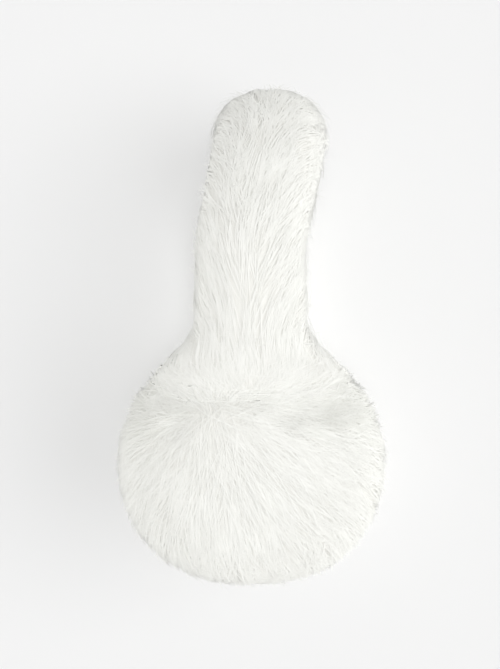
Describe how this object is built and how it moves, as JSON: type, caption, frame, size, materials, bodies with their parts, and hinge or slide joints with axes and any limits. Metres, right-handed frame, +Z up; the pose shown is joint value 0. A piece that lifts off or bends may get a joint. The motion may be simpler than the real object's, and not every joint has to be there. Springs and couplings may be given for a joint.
{
  "type": "white fur earmuffs",
  "caption": "Round deep-furred ear pads on a fur-covered headband, lying on one pad.",
  "frame": {"origin": "middle of the bottom of the whole, where the lower pad and the leg of the headband rest", "axes": "+Y from the pads to the crown of the headband, +Z up along the line from ear to ear, +X across the headband"},
  "size_m": [0.123, 0.2308, 0.1661],
  "materials": {
    "band_fur": "deep soft fur, matt with a faint sheen",
    "pad_fur": "dense long fur, matt with a faint sheen"
  },
  "bodies": {
    "root": {"headband": "band_fur", "ear_pad_upper": "pad_fur", "ear_pad_lower": "pad_fur"}
  },
  "joints": []
}
